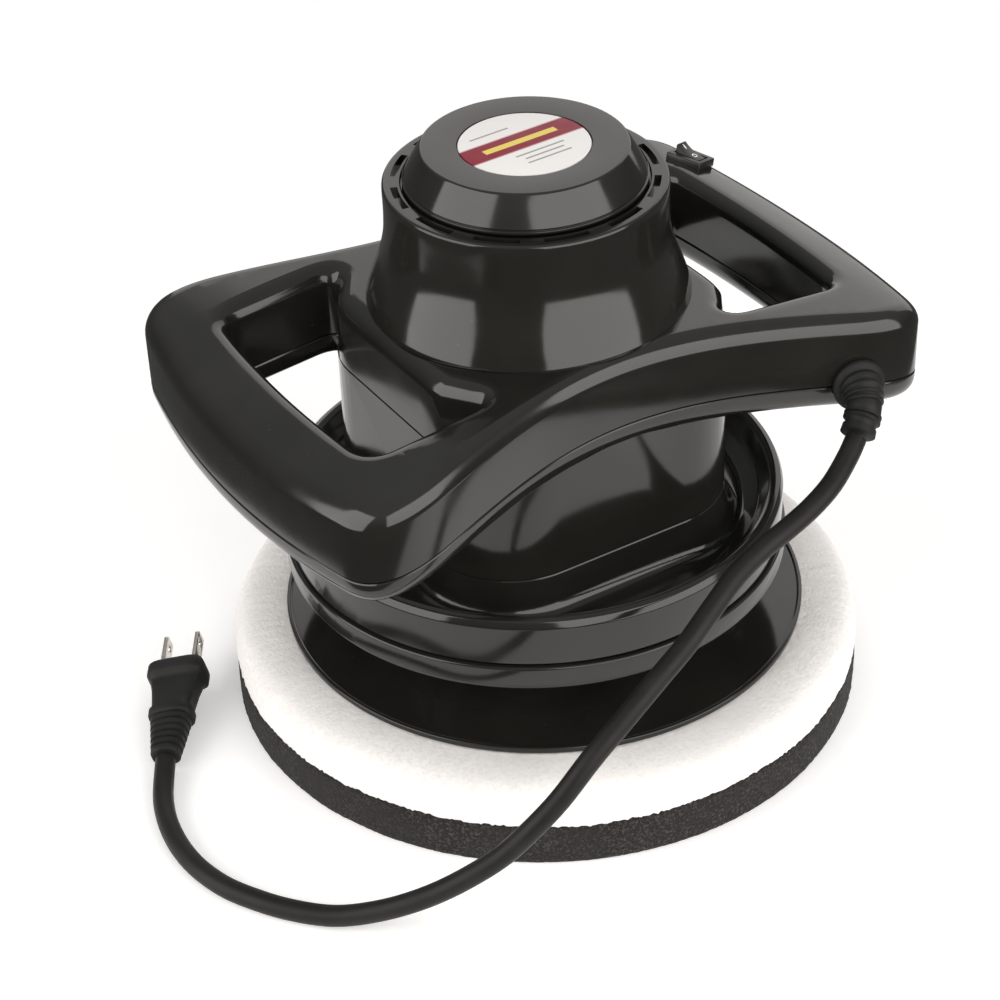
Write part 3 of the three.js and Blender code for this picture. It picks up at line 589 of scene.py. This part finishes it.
# Relief: a flange against the shell, ribs that shrink towards the cord, and an end collar
def make_relief():
    route = smooth_line([GLAND_PLACE + GLAND_OUT * 0.5, GLAND_PLACE + GLAND_OUT * 6,
                         (79.4, -92.4, 136.6), (73, -97.2, 131)], 16)
    lengths = [0]
    for a, b in zip(route, route[1:]):
        lengths.append(lengths[-1] + (b - a).length)

    def station(distance):
        i = next((i for i, reach in enumerate(lengths) if reach >= distance), len(route) - 1)
        i = max(i, 1)
        t = (distance - lengths[i - 1]) / (lengths[i] - lengths[i - 1])
        return upright_frame(route[i - 1].lerp(route[i], t), route[i] - route[i - 1])

    whole = lengths[-1]
    steps = [(-2.0, 8.6), (0.9, 9.3), (1.5, 9.7), (2.3, 9.7), (2.9, 9.2), (3.1, 7.7)]
    for i in range(4):
        start, radius = 3.6 + 1.9 * i, 7.8 - 0.28 * i
        steps += [(start, radius - 0.9), (start + 0.25, radius - 0.1), (start + 0.7, radius),
                  (start + 1.15, radius - 0.1), (start + 1.4, radius - 0.9)]
    steps += [(11.5, 6.3), (14.2, 6.2)]
    for i in range(2):
        start = 14.6 + 1.7 * i
        steps += [(start, 6.0), (start + 0.2, 6.7), (start + 0.9, 6.7), (start + 1.2, 5.9)]
    steps += [(18.4, 5.6), (whole - 3.2, 5.4), (whole - 2.9, 6.1), (whole - 0.4, 6.3), (whole - 0.1, 5.8)]
    steps = sorted(step for step in steps if step[0] <= whole)
    bm = lofted([(station(distance), radius, radius, 2.0) for distance, radius in steps], 40)
    made = as_object(bm, "cord_relief_moulding", 60)
    return settle(made, moulded_vinyl, "housing", "black_rubber", "cord_relief")


make_relief()


# Foam pads
FOAM_SEED = 1
noise.seed_set(FOAM_SEED)  # noise vectors would otherwise start from the clock


def tousle(bm, coarse, fine, heal=0.0):
    """Pushes the skin of a foam disc in and out, and frays its rim where the two foams meet."""
    for vert in bm.verts:
        radius = math.hypot(vert.co.x - pad_centre[0], vert.co.y - pad_centre[1])
        if radius < PLATE_RADIUS - 4:
            continue
        push = noise.noise_vector(vert.co * 0.045) * coarse + noise.noise_vector(vert.co * 0.62) * fine
        if vert.co.z < 2:
            push.z = 0
        vert.co += push
        if heal and vert.co.z < PAD_SEAM + 2 and radius > PAD_RADIUS - 3:
            vert.co.z += heal * noise.noise(vert.co * 0.9) - 0.1


def make_white_foam():
    line = [
        (2, 17.2), (118.8, 17.1), (119.5, 17.5), (119.8, 18.3), (119.9, 20), (119.9, 22),
        (119.8, 24), (119.3, 26.2), (118.4, 28.3), (117, 30.1), (115, 31.6), (112.4, 32.5),
        (109, 33.0), (105, 33.2), (101.5, 33.1), (99.5, 32.9), (97.5, 32.8), (2, 32.8),
    ]
    bm = turned(line, 720, pad_centre)
    tousle(bm, 0.5, 0.42, 0.9)
    made = settle(as_object(bm, "white_pad", 80), white_foam, "pad", "white_foam", "backing_foam")
    return made


def make_grey_foam():
    line = [
        (0.5, 0), (118.6, 0), (119.5, 0.5), (119.8, 1.5), (119.8, 4), (119.9, 7),
        (119.9, 10), (119.8, 13), (119.6, 15.4), (119.2, 16.9), (118, 17), (0.5, 17),
    ]
    bm = turned(line, 720, pad_centre)
    tousle(bm, 0.3, 0.25)
    made = settle(as_object(bm, "charcoal_pad", 80), grey_foam, "pad", "grey_foam", "finishing_foam")
    return made


make_white_foam()
make_grey_foam()


# Backing plate: a shallow moulded dish with a raised rim and stiffening rings
def make_plate():
    edge = PLATE_RADIUS
    bm = turned(rounded([
        (6.2, 33.3, 0), (edge - 0.6, 33.2, 0.3), (edge, 33.8, 0.4), (edge, PLATE_TOP - 0.2, 0.5),
        (edge - 1.2, PLATE_TOP - 0.1, 0.5), (edge - 1.9, PLATE_TOP - 0.7, 0.4), (80, PLATE_TOP + 0.3, 3),
        (60, PLATE_TOP + 2.6, 6), (24, PLATE_TOP + 5, 4),
        (15, 46, 2), (15, 49.8, 0.6), (6.2, 49.8, 0),
    ]), 200, pad_centre)
    return settle(as_object(bm, "backing_dish"), black_gloss, "pad", "black_gloss", "backing_plate")


make_plate()


# Skirt: the ring below and the dished base above it
def make_skirt_ring():
    inner = RING_RADIUS - WALL
    bm = turned(rounded([
        (inner, RING_BOTTOM, 0.5), (RING_RADIUS - 1.0, RING_BOTTOM, 0.5),
        (RING_RADIUS - 0.6, RING_BOTTOM + 1.4, 0.2), (RING_RADIUS, RING_BOTTOM + 1.8, 0.3),
        (RING_RADIUS, RING_TOP - 0.2, 1.2), (DISH_RADIUS - 0.6, RING_TOP, 0.2),
        (DISH_RADIUS - 1.0, RING_TOP - 0.5, 0), (76, RING_TOP - 0.5, 0), (76, RING_TOP - 2, 0),
        (inner, RING_TOP - 2, 1),
    ]), 220)
    return settle(as_object(bm, "skirt_band"), black_gloss, "housing", "black_gloss", "skirt_ring")


def square_outline(half, corner, segments=14):
    corners = [(half, half), (-half, half), (-half, -half), (half, -half)]
    line = []
    for (x, y), start in zip(corners, (0, 90, 180, 270)):
        cx, cy = x - math.copysign(corner, x), y - math.copysign(corner, y)
        for k in range(segments + 1):
            angle = math.radians(start + 90 * k / segments)
            line.append((cx + corner * math.cos(angle), cy + corner * math.sin(angle)))
    return line


def square_loft(levels, name):
    """A closed skin over rounded squares; each level is its height, half width and corner."""
    bm = bmesh.new()
    loops = []
    for z, half, corner in levels:
        _, edges = loop_edges(bm, [(x, y, z) for x, y in square_outline(half, corner)])
        loops.append(edges)
    for first, second in zip(loops, loops[1:]):
        bmesh.ops.bridge_loops(bm, edges=first + second)
    for end in (loops[0], loops[-1]):
        bmesh.ops.contextual_create(bm, geom=end)
    return as_object(bm, name)


def neck_bore():
    half, corner = NECK_HALF - WALL, NECK_CORNER - WALL
    return square_loft([(60, half, corner), (165, half, corner)], "bore")


def make_base():
    wall = DISH_RADIUS - WALL
    bm = turned(rounded([
        (40, DISH_FLOOR - WALL, 0), (82, DISH_FLOOR - WALL, 2), (86.6, 81.5, 2), (wall, 83, 1),
        (wall, RING_TOP + 0.3, 0), (DISH_RADIUS - 0.8, RING_TOP + 0.3, 0),
        (DISH_RADIUS - 0.8, RING_TOP + 0.9, 0.1), (DISH_RADIUS, RING_TOP + 1.0, 0.2),
        (DISH_RADIUS, 86.8, 2.2), (91.4, 89.2, 1.6), (89.4, DISH_TOP, 1.4), (87.4, 89.0, 2), (83.4, 81.6, 6),
        (77.4, DISH_FLOOR, 5), (40, DISH_FLOOR, 0),
    ], segments=7), 220)
    dish = as_object(bm, "dished_base", 30)
    collar = square_loft([
        (75.5, 69, 41), (77.0, 65.5, 37.5), (77.9, 63.9, 35.9), (79.6, 62.2, 34.2), (82, 61.1, 33.1),
        (85.2, 60.35, 32.35), (88, NECK_HALF, NECK_CORNER), (NECK_SEAM - 0.5, NECK_HALF, NECK_CORNER),
        (NECK_SEAM - 0.15, NECK_HALF - 0.35, NECK_CORNER - 0.35),
    ], "collar")
    combine(dish, collar, "UNION")
    combine(dish, neck_bore(), "DIFFERENCE")
    soften(dish, 30)
    return settle(dish, black_gloss, "housing", "black_gloss", "base_housing")


make_skirt_ring()
make_base()


# Handle shells
def handle_outline():
    def flare(x):
        return WAIST_HALF + END_FLARE * (1 - math.cos(math.pi * x / FLARE_SPAN)) / 2

    def bow(y):
        return END_REACH - END_BOW * (y / 80) ** 2

    quarter = [Vector((x, flare(x))) for x in range(0, CORNER_START, 3)]
    start = Vector((CORNER_START, flare(CORNER_START)))
    corner_y = WAIST_HALF + END_FLARE - CORNER_DROP
    end = Vector((bow(corner_y), corner_y))
    lead_in, lead_out = start + Vector((18.6, 6.1)), end + Vector((-3.0, 14.4))
    for k in range(26):
        t = k / 26
        quarter.append((1 - t) ** 3 * start + 3 * t * (1 - t) ** 2 * lead_in + 3 * t * t * (1 - t) * lead_out
                       + t ** 3 * end)
    quarter += [Vector((bow(y), y)) for y in range(corner_y, 0, -5)] + [Vector((END_REACH, 0))]
    right = quarter + [Vector((p.x, -p.y)) for p in quarter[-2::-1]]
    left = [Vector((-p.x, p.y)) for p in right[-2:0:-1]]
    return right + left


def loop_outline(side):
    def inner(y):
        turn = max(0, abs(y) - NECK_HALF + NECK_CORNER)
        return NECK_HALF - NECK_CORNER + math.sqrt(NECK_CORNER ** 2 - turn ** 2)

    def outer(y):
        return LOOP_OUTER - LOOP_OUTER_BOW * (y / 50) ** 2

    straight = range(-36, 37, 4)
    line = [(side * inner(y), y, 0) for y in straight]
    line += [(side * inner(LOOP_HALF), LOOP_HALF, LOOP_INNER_CORNER),
             (side * outer(LOOP_HALF), LOOP_HALF, LOOP_CORNER)]
    line += [(side * outer(-y), -y, 0) for y in straight]
    line += [(side * outer(LOOP_HALF), -LOOP_HALF, LOOP_CORNER),
             (side * inner(LOOP_HALF), -LOOP_HALF, LOOP_INNER_CORNER)]
    return rounded(line, segments=10)


def handle_shell(height, fillet, seam_ease=0.35, steps=9):
    """A flat plate in the handles' plan with a rounded upper edge, before it is arched."""
    bm = bmesh.new()
    edges = []
    for outline in (handle_outline(), loop_outline(-1), loop_outline(1)):
        edges += loop_edges(bm, [(x, y, seam_ease) for x, y in outline])[1]
    bmesh.ops.triangle_fill(bm, edges=edges, use_beauty=True, normal=(0, 0, 1))
    low = bm.faces[:]
    made = bmesh.ops.extrude_face_region(bm, geom=low, use_keep_orig=True)["geom"]
    top = faces_of(made)
    bmesh.ops.translate(bm, verts=verts_of(made), vec=(0, 0, height - fillet - seam_ease))
    bmesh.ops.recalc_face_normals(bm, faces=bm.faces)
    bmesh.ops.inset_region(bm, faces=low, thickness=seam_ease, depth=seam_ease,
                           use_boundary=True, use_even_offset=True)
    for k in range(steps):
        a, b = math.radians(90 * k / steps), math.radians(90 * (k + 1) / steps)
        bmesh.ops.inset_region(bm, faces=top, thickness=fillet * (math.cos(a) - math.cos(b)),
                               depth=fillet * (math.sin(b) - math.sin(a)),
                               use_boundary=True, use_even_offset=True)
    return bm


STRIP_WIDTH = 4
STRIP_SHIFT = 0.37  # keeps the cuts off the outlines' own points


def cut_stations(bm):
    """Cuts the level faces into narrow strips, so that they can follow the arch."""
    for axis, reach in ((0, 124), (1, 88)):
        for place in range(-reach, reach + 1, STRIP_WIDTH):
            level = [f for f in bm.faces if abs(f.normal.z) > 0.999]
            edges = list({e for f in level for e in f.edges})
            geometry = level + edges + list({v for f in level for v in f.verts})
            point = Vector((0, 0, 0))
            point[axis] = place + STRIP_SHIFT
            normal = Vector((0, 0, 0))
            normal[axis] = 1
            bmesh.ops.bisect_plane(bm, geom=geometry, dist=0.02, plane_co=point, plane_no=normal)


def make_upper_shell():
    bm = handle_shell(UPPER_SHELL - SEAM_GAP, 7.0)
    cut_stations(bm)
    for vert in bm.verts:
        roll = max(0.0, (abs(vert.co.x) - ROLL_START) / ROLL_SPAN)
        height_share = max(0.0, vert.co.z / UPPER_SHELL)
        vert.co.z += arch(vert.co.x) + SEAM_GAP - GRIP_ROLL * (roll * height_share) ** 2
    shell = as_object(bm, "upper_handle_shell", 34)
    well = COVER_RADIUS - 2
    bore = as_object(turned([(0.2, 100), (well, 100), (well, 200), (0.2, 200)], 96), "bore")
    combine(shell, bore, "DIFFERENCE")
    soften(shell, 34)
    return settle(shell, black_gloss, "housing", "black_gloss", "handle_upper")


def make_lower_shell():
    bm = handle_shell(LOWER_SHELL - SEAM_GAP, 8.5)
    cut_stations(bm)
    bmesh.ops.scale(bm, vec=(1, 1, -1), verts=bm.verts)
    for vert in bm.verts:
        vert.co.z += arch(vert.co.x) - SEAM_GAP
    shell = as_object(bm, "lower_handle_shell", 34)
    neck = square_loft([
        (NECK_SEAM + 0.1, NECK_HALF - 0.35, NECK_CORNER - 0.35), (NECK_SEAM + 0.45, NECK_HALF, NECK_CORNER),
        (SEAM_HEIGHT - 4, NECK_HALF, NECK_CORNER), (SEAM_HEIGHT, NECK_HALF, NECK_CORNER),
    ], "neck")
    for vert in neck.data.vertices:
        if vert.co.z > (SEAM_HEIGHT - 1) * MM:
            vert.co.z = (arch(vert.co.x / MM) - SEAM_GAP) * MM
    combine(shell, neck, "UNION")
    combine(shell, neck_bore(), "DIFFERENCE")
    soften(shell, 34)
    return settle(shell, black_gloss, "housing", "black_gloss", "handle_lower")


make_upper_shell()
make_lower_shell()


# Motor cover, cap and label
VENTS = 12
VENT_SHARE = 2 / 3
VENT_INNER = 44.6
VENT_OUTER = 46.6
VENT_STEP = 1.1


def make_cover():
    wall = smooth_line([(57.9, 169.5), (56.5, 174), (54.7, 179), (52.9, 184), (51.4, 189),
                        (50.3, 195), (49.9, 203), (COVER_RADIUS, 211.2)], 5)
    outside = [(57.9, 160, 0), *[(r, z, 0) for r, z in wall], (COVER_RADIUS - 0.1, COVER_TOP, 1.8)]
    bm = turned(rounded([
        *outside, (47.05, COVER_TOP, 0), (44.55, COVER_TOP, 0), (43.6, COVER_TOP, 0.3),
        (43.4, COVER_TOP - 1.2, 0.2), (36, COVER_TOP - 1.2, 0), (36, 211, 0), (47, 211, 0),
        (46.6, 200, 0), (47.6, 190, 0), (53.4, 174, 0), (54, 160, 0),
    ]), 216)
    for vert in bm.verts:
        if vert.co.z < 161:
            vert.co.z = arch(vert.co.x) + UPPER_SHELL + 0.35
    slots = []
    for face in bm.faces:
        middle = face.calc_center_median()
        turn = math.degrees(math.atan2(middle.y, middle.x)) % (360 / VENTS)
        radius = math.hypot(middle.x, middle.y)
        open_here = abs(turn - 180 / VENTS) < 180 / VENTS * VENT_SHARE
        if open_here and VENT_INNER < radius < VENT_OUTER and middle.z > COVER_TOP - 0.1:
            slots.append(face)
    for _ in range(2):
        moved = bmesh.ops.extrude_face_region(bm, geom=slots)["geom"]
        bmesh.ops.delete(bm, geom=slots, context="FACES_ONLY")
        slots = faces_of(moved)
        bmesh.ops.translate(bm, verts=verts_of(moved), vec=(0, 0, -VENT_STEP))
    return settle(as_object(bm, "motor_bell", 34), black_gloss, "housing", "black_gloss", "motor_cover")


def make_cap():
    bottom = COVER_TOP + 0.35
    bm = turned(rounded([
        (0.3, bottom + 3, 0), (37, bottom + 3, 0), (39, bottom, 0), (CAP_EDGE, bottom, 0.4),
        (CAP_EDGE + 0.1, bottom + 1.1, 0.3), (CAP_EDGE - 0.5, bottom + 1.35, 0.1),
        (CAP_EDGE - 0.5, bottom + 1.7, 0.2), (CAP_EDGE - 0.3, bottom + 2.0, 0.4),
        (CAP_RADIUS, CAP_TOP, 1.2), (LABEL_RADIUS + 0.5, CAP_TOP, 0.15),
        (LABEL_RADIUS + 0.3, CAP_TOP - 0.8, 0), (0.3, CAP_TOP - 0.8, 0),
    ]), 200)
    return settle(as_object(bm, "cap_moulding", 30), black_gloss, "housing", "black_gloss", "top_cap")


def make_label():
    bm = turned(rounded([
        (0.2, CAP_TOP - 0.6, 0), (LABEL_RADIUS, CAP_TOP - 0.6, 0), (LABEL_RADIUS, CAP_TOP - 0.06, 0.15),
        (0.2, CAP_TOP - 0.06, 0),
    ], segments=3), 128)
    return settle(as_object(bm, "label_disc"), label, "housing", "label_paper", "cap_label")


make_cover()
make_cap()
make_label()


# Rocker switch
switch_top = arch(SWITCH_PLACE.x) + UPPER_SHELL
switch_tilt = math.atan((arch(SWITCH_PLACE.x - 1) - arch(SWITCH_PLACE.x + 1)) / 2)
switch_frame = (Matrix.Translation((SWITCH_PLACE.x, SWITCH_PLACE.y, switch_top))
                @ Matrix.Rotation(switch_tilt, 4, "Y") @ Matrix.Rotation(SWITCH_TURN, 4, "Z"))
PIVOT = 1.2


def block(bm, size, middle, ease):
    made = bmesh.ops.create_cube(bm, size=1)["verts"]
    bmesh.ops.scale(bm, vec=size, verts=made)
    bmesh.ops.translate(bm, vec=middle, verts=made)
    edges = list({edge for vert in made for edge in vert.link_edges})
    bmesh.ops.bevel(bm, geom=edges, offset=ease, segments=3, profile=0.5, affect="EDGES", material=-1)


def make_bezel():
    bm = bmesh.new()
    block(bm, (11, 15.5, 3.6), (0, 0, 0.5), 0.6)
    bezel = as_object(bm, "switch_bezel", 40)
    bm = bmesh.new()
    block(bm, (6.6, 12, 16), (0, 0, 4), 0.3)
    combine(bezel, as_object(bm, "well"), "DIFFERENCE")
    bezel.data.transform(Matrix.Scale(1 / MM, 4))
    bezel.data.transform(switch_frame)
    bezel.data.transform(Matrix.Scale(MM, 4))
    soften(bezel, 40)
    return settle(bezel, black_satin, "housing", "black_satin", "switch_frame")


def rocker_top(t):
    """Point and slope of the rocker's dished top, from its low end at 0 to its raised end at 1."""
    low, middle, high = Vector((-5.2, PIVOT + 0.9)), Vector((1.6, PIVOT + 1.4)), Vector((5.0, PIVOT + 4.6))
    place = (1 - t) ** 2 * low + 2 * t * (1 - t) * middle + t * t * high
    slope = 2 * (1 - t) * (middle - low) + 2 * t * (high - middle)
    return place, slope.normalized()


def make_rocker():
    line = [rocker_top(k / 14)[0] for k in range(15)]
    line += [Vector((5.4, PIVOT + 3.8)), Vector((5.2, PIVOT + 0.2))]
    for k in range(1, 10):
        t = k / 10
        line.append((1 - t) ** 2 * Vector((5.2, PIVOT + 0.2)) + 2 * t * (1 - t) * Vector((0, PIVOT - 9.6))
                    + t * t * Vector((-5.2, PIVOT + 0.2)))
    line.append(Vector((-5.2, PIVOT + 0.2)))
    bm = bmesh.new()
    face = bm.faces.new([bm.verts.new((-2.9, p.x, p.y)) for p in line])
    moved = bmesh.ops.extrude_face_region(bm, geom=[face], use_keep_orig=True)["geom"]
    bmesh.ops.translate(bm, vec=(5.8, 0, 0), verts=verts_of(moved))
    rims = [edge for edge in bm.edges if edge.calc_face_angle(0) > 0.7]
    bmesh.ops.bevel(bm, geom=rims, offset=0.35, segments=3, profile=0.5, affect="EDGES", material=-1)
    bmesh.ops.transform(bm, matrix=switch_frame, verts=bm.verts)
    return settle(as_object(bm, "rocker_key", 40), black_satin, "rocker", "black_satin", "switch_rocker")


def on_rocker(t):
    place, slope = rocker_top(t)
    along = Vector((0, slope.x, slope.y))
    turn = Matrix((Vector((1, 0, 0)), along, Vector((1, 0, 0)).cross(along))).transposed()
    return switch_frame @ Matrix.Translation((0, place.x, place.y)) @ turn.to_4x4()


def make_marks():
    bm = bmesh.new()
    block(bm, (0.55, 2.3, 0.2), (0, 0, 0.02), 0.08)
    bmesh.ops.transform(bm, matrix=on_rocker(0.78), verts=bm.verts)
    settle(as_object(bm, "on_mark"), mark_paint, "rocker", "black_satin")
    ring = [(0.75, -0.1, 0), (1.15, -0.1, 0), (1.15, 0.1, 0.05), (0.75, 0.1, 0.05)]
    bm = turned(rounded(ring, segments=2), 28)
    bmesh.ops.transform(bm, matrix=on_rocker(0.27), verts=bm.verts)
    settle(as_object(bm, "off_mark"), mark_paint, "rocker", "black_satin")


make_bezel()
make_rocker()
make_marks()


# Floor and light
FLOOR_RADIUS = 305
FLOOR_MIDDLE = (40, 0, 0)
ROOM_LOW, ROOM_HIGH = 0.1, 0.45
WARM_WHITE = (1.0, 0.965, 0.93)


def make_floor():
    bm = bmesh.new()
    bmesh.ops.create_circle(bm, cap_ends=True, segments=128, radius=FLOOR_RADIUS,
                            matrix=Matrix.Translation(FLOOR_MIDDLE))
    floor = as_object(bm, "studio_floor")
    table = Finish("light_table", (0.93, 0.93, 0.93), 0.6, Specular_IOR_Level=0.2, Emission_Strength=0.24)
    table.shader.inputs["Emission Color"].default_value = (1, 1, 1, 1)
    floor.data.materials.append(table.material)


def softbox(name, azimuth, elevation, distance, width, height, watts):
    """An area light, placed in metres, that faces the handles from a compass angle like the camera's."""
    azimuth, elevation = math.radians(azimuth), math.radians(elevation)
    towards = Vector((math.sin(azimuth) * math.cos(elevation), -math.cos(azimuth) * math.cos(elevation),
                      math.sin(elevation)))
    data = bpy.data.lights.new(name, "AREA")
    data.shape = "RECTANGLE"
    data.size, data.size_y = width, height
    data.energy = watts
    data.color = WARM_WHITE
    lamp = bpy.data.objects.new(name, data)
    lamp.location = towards * distance + Vector((0, 0, 0.15))
    lamp.rotation_euler = towards.to_track_quat("Z", "Y").to_euler()
    bpy.context.scene.collection.objects.link(lamp)


def set_sky():
    """A white backdrop to look at, while the polished parts mirror a room that is darker low down."""
    world = bpy.data.worlds.new("studio")
    bpy.context.scene.world = world
    world.use_nodes = True
    tree = world.node_tree
    backdrop = tree.nodes["Background"]
    place = tree.nodes.new("ShaderNodeTexCoord")
    split = tree.nodes.new("ShaderNodeSeparateXYZ")
    ramp = tree.nodes.new("ShaderNodeValToRGB")
    tree.links.new(place.outputs["Generated"], split.inputs["Vector"])
    tree.links.new(split.outputs["Z"], ramp.inputs["Fac"])
    ramp.color_ramp.elements[0].position = 0.1
    ramp.color_ramp.elements[0].color = (*3 * (ROOM_LOW,), 1)
    ramp.color_ramp.elements[1].position = 0.8
    ramp.color_ramp.elements[1].color = (*3 * (ROOM_HIGH,), 1)
    path = tree.nodes.new("ShaderNodeLightPath")
    seen = tree.nodes.new("ShaderNodeMix")
    seen.data_type = "RGBA"
    seen.inputs["B"].default_value = (1, 1, 1, 1)
    tree.links.new(path.outputs["Is Camera Ray"], seen.inputs["Factor"])
    tree.links.new(ramp.outputs["Color"], seen.inputs["A"])
    tree.links.new(seen.outputs["Result"], backdrop.inputs["Color"])


make_floor()
set_sky()
softbox("left_softbox", azimuth=-96, elevation=19, distance=1.5, width=1.5, height=1.65, watts=25)
softbox("right_softbox", azimuth=12, elevation=19, distance=1.5, width=2.1, height=1.65, watts=35)
softbox("back_wall", azimuth=136, elevation=18, distance=2.2, width=3.0, height=1.7, watts=17)
bpy.context.scene.view_settings.view_transform = "Standard"
